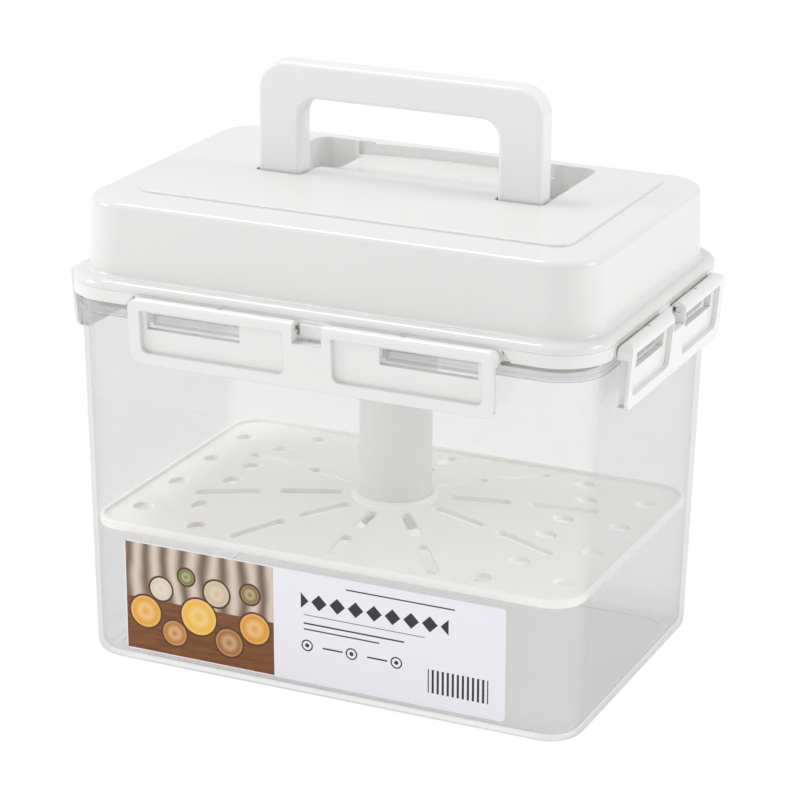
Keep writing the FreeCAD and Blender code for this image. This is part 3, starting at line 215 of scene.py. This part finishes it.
def ring(x, z, radius, half_line):
    """The mask of a ring on the label, or of a dot where the radius is 0."""
    away = add(tree, "ShaderNodeVectorMath", {"operation": "DISTANCE"}, {1: (x * MM, z * MM, 0)},
               {0: (flat, 0)})
    return add(tree, "ShaderNodeMath", {"operation": "COMPARE"}, {1: radius * MM, 2: half_line * MM},
               {0: (away, "Value")})


# The board's grain lies 1.5 mm apart and runs along it, and the cloth over it hangs in folds 9 mm apart.
# A wave texture of scale 1 has 20 / tau waves to the metre.
GRAIN, GRAIN_STRETCH = 1.5 * MM, 0.12
FOLD = 8.8 * MM
WAVES_PER_UNIT = 20 / math.tau
grain_map = add(tree, "ShaderNodeMapping", inputs={"Scale": (GRAIN_STRETCH, 1.0, 1.0)},
                links={"Vector": (flat, 0)})
grain = add(tree, "ShaderNodeTexNoise", inputs={"Scale": 1 / GRAIN, "Detail": 3.0},
            links={"Vector": (grain_map, 0)})
folds = add(tree, "ShaderNodeTexWave", {"wave_type": "BANDS", "bands_direction": "X"},
            {"Scale": 1 / (FOLD * WAVES_PER_UNIT), "Distortion": 3.0, "Detail": 2.0}, {"Vector": (flat, 0)})
board = print_over(WOOD_DARK, WOOD_LIGHT, (grain, "Fac"))
cloth = print_over(FOLD_DARK, FOLD_LIGHT, (folds, "Fac"))
over_board = add(tree, "ShaderNodeMath", {"operation": "GREATER_THAN"}, {1: BOARD_TOP * MM}, {0: (axes, "Z")})
picture = print_over(board, cloth, (over_board, 0))
for x, z, radius, colour in SLICES:
    away = add(tree, "ShaderNodeVectorMath", {"operation": "DISTANCE"}, {1: (x * MM, z * MM, 0)},
               {0: (flat, 0)})
    outwards = add(tree, "ShaderNodeMapRange", inputs={"From Max": radius * MM},
                   links={"Value": (away, "Value")})
    flesh = add(tree, "ShaderNodeMath", {"operation": "PINGPONG"}, {1: FLESH_RING}, {0: (outwards, "Result")})
    inside = add(tree, "ShaderNodeMath", {"operation": "LESS_THAN"}, {1: radius * MM}, {0: (away, "Value")})
    picture = print_over(picture, print_over(colour, FLESH, (flesh, 0)), (inside, 0))
    picture = print_over(picture, SKIN, (ring(x, z, radius, SKIN_HALF), 0))

inked = [rectangle(*rule) for rule in RULES]
for x in RING_PLACES:
    inked.append(ring(x, RING_LEVEL, RING_RADIUS, RING_HALF))
    inked.append(ring(x, RING_LEVEL, 0.0, DOT_RADIUS))
from_middle = add(tree, "ShaderNodeMath", {"operation": "PINGPONG"}, {1: DIAMOND_PITCH / 2 * MM},
                  {0: (axes, "X")})
below_row = add(tree, "ShaderNodeMath", {"operation": "SUBTRACT"}, {1: DIAMOND_LEVEL * MM}, {0: (axes, "Z")})
from_row = add(tree, "ShaderNodeMath", {"operation": "ABSOLUTE"}, links={0: (below_row, 0)})
slanting = add(tree, "ShaderNodeMath", {"operation": "ADD"}, links={0: (from_middle, 0), 1: (from_row, 0)})
diamond = add(tree, "ShaderNodeMath", {"operation": "COMPARE"}, {1: 0.0, 2: DIAMOND_HALF * MM},
              {0: (slanting, 0)})
from_stripe = add(tree, "ShaderNodeMath", {"operation": "PINGPONG"}, {1: STRIPE_PITCH / 2 * MM},
                  {0: (axes, "X")})
stripe = add(tree, "ShaderNodeMath", {"operation": "LESS_THAN"}, {1: STRIPE_HALF * MM}, {0: (from_stripe, 0)})
for pattern, field in ((diamond, DIAMOND_FIELD), (stripe, STRIPE_FIELD)):
    inked.append(add(tree, "ShaderNodeMath", {"operation": "MULTIPLY"},
                     links={0: (pattern, 0), 1: (rectangle(*field), 0)}))
marks = inked[0]
for mark in inked[1:]:
    marks = add(tree, "ShaderNodeMath", {"operation": "MAXIMUM"}, links={0: (marks, 0), 1: (mark, 0)})

at_right = add(tree, "ShaderNodeMath", {"operation": "GREATER_THAN"}, {1: PICTURE_RIGHT * MM},
               {0: (axes, "X")})
half_width = (LABEL_RIGHT - LABEL_LEFT) / 2
half_height = (LABEL_HEAD - LABEL_FOOT) / 2
within = rectangle(LABEL_LEFT + half_width, LABEL_FOOT + half_height,
                   half_width - LABEL_MARGIN, half_height - LABEL_MARGIN)
print_design = print_over(picture, print_over(PAPER, INK, (marks, 0)), (at_right, 0))
print_design = print_over(PAPER, print_design, (within, 0))

# Coated paper under a satin film, which gives the print a soft sheen. The fibres are finer than 0.5 mm and
# are drawn that coarse so that their bump shows.
FIBRE, FIBRE_HEIGHT = 0.5 * MM, 0.03 * MM
FILM_ROUGHNESS, FILM_IOR = 0.38, 1.46
fibre = add(tree, "ShaderNodeTexNoise", inputs={"Scale": 1 / FIBRE, "Detail": 2.0},
            links={"Vector": (point, "Object")})
fibre_bump = add(tree, "ShaderNodeBump", inputs={"Strength": 0.10, "Distance": FIBRE_HEIGHT},
                 links={"Height": (fibre, "Fac")})
film = add(tree, "ShaderNodeBsdfPrincipled", inputs={"Roughness": FILM_ROUGHNESS, "IOR": FILM_IOR},
           links={"Base Color": print_design, "Normal": (fibre_bump, "Normal")})
tree.links.new(film.outputs[0], output.inputs["Surface"])
dress(printed_paper, "label")


# Lid, clips and handle
# Injection-moulded ABS, glossy white. The lid is a cover and a base that meet at the flange; the clips
# snap on round bars under the flange, and the handle turns on two pins in the cover's recess.

# White ABS from a polished tool. The eye sees broad soft reflections that waver a little where the plastic
# flowed, and edges that catch the light. Narrow gaps and crevices get painted shade, a dull brownish grey
# where little ambient light reaches.
ABS_IOR = 1.53
EDGE_SOFTNESS = 0.6 * MM
FLOW_WAVE, FLOW_HEIGHT = 45 * MM, 0.35 * MM
POLISH_PATCH, BEST_POLISH, WORST_POLISH = 12 * MM, 0.8, 1.25
# Reach, occlusion range and colour of the painted shade in narrow gaps and crevices
GAP_REACH, GAP_DARK, GAP_LIGHT = 2.5 * MM, 0.04, 0.34
GAP_PAINTED_SHADE = "#94876F"


def moulded_white(name, colour, roughness):
    """Glossy white ABS of the given colour and mean roughness."""
    material, tree, output = new_material(name)
    point = add(tree, "ShaderNodeTexCoord")
    soft_edge = add(tree, "ShaderNodeBevel", {"samples": 6}, {"Radius": EDGE_SOFTNESS})
    flow = add(tree, "ShaderNodeTexNoise", inputs={"Scale": 1 / FLOW_WAVE, "Detail": 2.0},
               links={"Vector": (point, "Object")})
    wave = add(tree, "ShaderNodeBump", inputs={"Strength": 0.12, "Distance": FLOW_HEIGHT},
               links={"Height": (flow, "Fac"), "Normal": (soft_edge, "Normal")})
    polish = add(tree, "ShaderNodeTexNoise", inputs={"Scale": 1 / POLISH_PATCH, "Detail": 3.0},
                 links={"Vector": (point, "Object")})
    rough = add(tree, "ShaderNodeMapRange",
                inputs={"To Min": roughness * BEST_POLISH, "To Max": roughness * WORST_POLISH},
                links={"Value": (polish, "Fac")})
    # Painted shade: where little ambient light reaches, in gaps and crevices, the white is mixed towards a
    # dull brownish grey
    crevice_occlusion = add(tree, "ShaderNodeAmbientOcclusion", {"samples": 8}, {"Distance": GAP_REACH})
    unshaded_share = add(tree, "ShaderNodeMapRange", inputs={"From Min": GAP_DARK, "From Max": GAP_LIGHT},
                     links={"Value": (crevice_occlusion, "AO")})
    white = add(tree, "ShaderNodeMix", {"data_type": "RGBA"},
                {UNDER: linear(GAP_PAINTED_SHADE), OVER: linear(colour)}, {"Factor": (unshaded_share, "Result")})
    plastic = add(tree, "ShaderNodeBsdfPrincipled", inputs={"IOR": ABS_IOR},
                  links={"Base Color": (white, MIXED), "Roughness": (rough, "Result"),
                         "Normal": (wave, "Normal")})
    tree.links.new(plastic.outputs[0], output.inputs["Surface"])
    return material


# The base and clips are the same white ABS as the cover, painted a little lighter: painted light on the
# lower, front-facing parts
dress(moulded_white("polished_abs_lid_cover", "#E6E6E5", roughness=0.12), "lid_cover")
dress(moulded_white("polished_abs_lid_base_and_clips", "#EBEBEA", roughness=0.16),
      "lid_base", "latch_front", "latch_back", "latch_left", "latch_right")
dress(moulded_white("satin_abs_handle", "#EDEDED", roughness=0.2), "handle")


# Column, plate and small parts
# The sleeve hangs from the lid, the tube slides in it, and the nut holds the plate on the tube; all are
# moulded polypropylene. The seal is moulded silicone in the lid's groove, and the handle's pins are cut
# from drawn steel wire.

# A fine grain from the tool, or from drawing the wire, breaks up the shine into a satin one. Such grain is
# usually about 0.1 mm and is drawn 0.3 to 0.8 mm coarse so that it shows.
GRAIN_HEIGHT = 0.05 * MM
SATIN_PATCH, SMOOTH_PATCH, DULL_PATCH = 18 * MM, 0.85, 1.15


def satin(name, colour, roughness, grain_mm, metal=0.0):
    """A satin surface with its colour, mean roughness and grain size in millimetres."""
    material, tree, output = new_material(name)
    point = add(tree, "ShaderNodeTexCoord")
    grain = add(tree, "ShaderNodeTexNoise", inputs={"Scale": 1 / (grain_mm * MM), "Detail": 2.0},
                links={"Vector": (point, "Object")})
    bump = add(tree, "ShaderNodeBump", inputs={"Strength": 0.12, "Distance": GRAIN_HEIGHT},
               links={"Height": (grain, "Fac")})
    patch = add(tree, "ShaderNodeTexNoise", inputs={"Scale": 1 / SATIN_PATCH, "Detail": 2.0},
                links={"Vector": (point, "Object")})
    rough = add(tree, "ShaderNodeMapRange",
                inputs={"To Min": roughness * SMOOTH_PATCH, "To Max": roughness * DULL_PATCH},
                links={"Value": (patch, "Fac")})
    finish = add(tree, "ShaderNodeBsdfPrincipled", inputs={"Base Color": linear(colour), "Metallic": metal},
                 links={"Roughness": (rough, "Result"), "Normal": (bump, "Normal")})
    tree.links.new(finish.outputs[0], output.inputs["Surface"])
    return material


# The column is a plain white, the plate a warmer one, and the silicone a dull grey white.
dress(satin("moulded_polypropylene_column", "#ECECEB", roughness=0.36, grain_mm=0.8),
      "column_sleeve", "sleeve_cap", "press_tube")
dress(satin("moulded_polypropylene_plate", "#FFFEFA", roughness=0.34, grain_mm=0.8),
      "strainer_plate", "plate_nut")
dress(satin("silicone_seal", "#DDDFE0", roughness=0.55, grain_mm=0.4), "lid_seal")
drawn_steel = satin("drawn_steel_wire", "#B9BBBD", roughness=0.28, grain_mm=0.3, metal=1.0)
dress(drawn_steel, "handle_pin_left", "handle_pin_right")


# Press spring
# Eleven turns of round drawn steel wire between the cap's plug and the tube's floor. It is a merged copy of
# the wound form, and it is carried by the lid.

SAME_POINT = 0.001 * MM
spring_mesh = nodes["press_spring"].data.copy()
wound_shape = bmesh.new()
wound_shape.from_mesh(spring_mesh)
bmesh.ops.remove_doubles(wound_shape, verts=wound_shape.verts, dist=SAME_POINT)
wound_shape.to_mesh(spring_mesh)
wound_shape.free()
spring_mesh.shade_smooth()
spring_mesh.materials.clear()
spring_mesh.materials.append(drawn_steel)
wound_spring = bpy.data.objects.new("wound_spring", spring_mesh)
bpy.context.scene.collection.objects.link(wound_spring)
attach(wound_spring, "lid")
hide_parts("press_spring")
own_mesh(wound_spring)


# Studio
# A plain white floor and white surroundings, with one soft lamp overhead to the left and one at each
# side, so that the top and the right side are a little lighter than the front.

FLOOR_HALF = 3.0
floor_material, tree, output = new_material("white_floor")
floor_white = add(tree, "ShaderNodeBsdfDiffuse", inputs={"Color": linear(WHITE)})
floor_glow = add(tree, "ShaderNodeEmission", inputs={"Color": linear(WHITE), "Strength": 1.0})
ray = add(tree, "ShaderNodeLightPath")
seen = add(tree, "ShaderNodeMath", {"operation": "MAXIMUM"},
           links={0: (ray, "Is Camera Ray"), 1: (ray, "Is Transmission Ray")})
floor_finish = add(tree, "ShaderNodeMixShader",
                   links={"Fac": (seen, "Value"), 1: (floor_white, 0), 2: (floor_glow, 0)})
tree.links.new(floor_finish.outputs[0], output.inputs["Surface"])
floor_mesh = bpy.data.meshes.new("floor")
floor_shape = bmesh.new()
bmesh.ops.create_grid(floor_shape, x_segments=1, y_segments=1, size=FLOOR_HALF)
floor_shape.to_mesh(floor_mesh)
floor_shape.free()
floor_mesh.materials.append(floor_material)
floor = bpy.data.objects.new("floor", floor_mesh)
bpy.context.scene.collection.objects.link(floor)

# The surroundings light the object at a plain level and look white to the camera
WORLD_LIGHT = 0.78
world = bpy.data.worlds.new("white_surroundings")
bpy.context.scene.world = world
world.use_nodes = True
tree = world.node_tree
surroundings = tree.nodes["Background"]
surroundings.inputs["Color"].default_value = linear(WHITE)
surroundings.inputs["Strength"].default_value = WORLD_LIGHT
backdrop = add(tree, "ShaderNodeBackground", inputs={"Color": linear(WHITE), "Strength": 1.0})
ray = add(tree, "ShaderNodeLightPath")
sky = add(tree, "ShaderNodeMixShader",
          links={"Fac": (ray, "Is Camera Ray"), 1: (surroundings, 0), 2: (backdrop, 0)})
tree.links.new(sky.outputs[0], tree.nodes["World Output"].inputs["Surface"])


def soft_light(name, place, target, size, power):
    """A square area lamp that faces the target."""
    lamp = bpy.data.lights.new(name, "AREA")
    lamp.size = size
    lamp.energy = power
    lamp_object = bpy.data.objects.new(name, lamp)
    bpy.context.scene.collection.objects.link(lamp_object)
    lamp_object.location = place
    lamp_object.rotation_euler = (Vector(target) - Vector(place)).to_track_quat("-Z", "Y").to_euler()


# Places and sizes are in metres, powers in watts
soft_light("overhead", place=(-0.55, 0.0, 1.4), target=(0, 0, 0.15), size=0.4, power=4.0)
soft_light("right_side", place=(1.3, 0.3, 0.85), target=(0, 0, 0.1), size=0.6, power=4.2)
soft_light("left_side", place=(-1.2, -0.6, 0.75), target=(0, 0, 0.1), size=0.5, power=3.7)


# Camera
# It stands to the right of the front and looks slightly down, at the photograph's viewing angle.

AZIMUTH = math.radians(24.18)
ELEVATION = math.radians(19.16)
ROLL = math.radians(0.63)
DISTANCE = 1.3014
AIM_RIGHT, AIM_UP = 2.63 * MM, 101.76 * MM
LENS = 135.65
back = Vector((math.sin(AZIMUTH) * math.cos(ELEVATION), -math.cos(AZIMUTH) * math.cos(ELEVATION),
               math.sin(ELEVATION)))
level_right = (-back).cross(Vector((0, 0, 1))).normalized()
level_up = level_right.cross(-back)
right = level_right * math.cos(ROLL) + level_up * math.sin(ROLL)
up = level_up * math.cos(ROLL) - level_right * math.sin(ROLL)
camera_data = bpy.data.cameras.new("camera")
camera_data.lens = LENS
camera = bpy.data.objects.new("camera", camera_data)
bpy.context.scene.collection.objects.link(camera)
turn = Matrix((right, up, back)).transposed().to_4x4()
camera.matrix_world = Matrix.Translation(back * DISTANCE + right * AIM_RIGHT + up * AIM_UP) @ turn
bpy.context.scene.camera = camera
bpy.context.scene.view_settings.view_transform = "Standard"
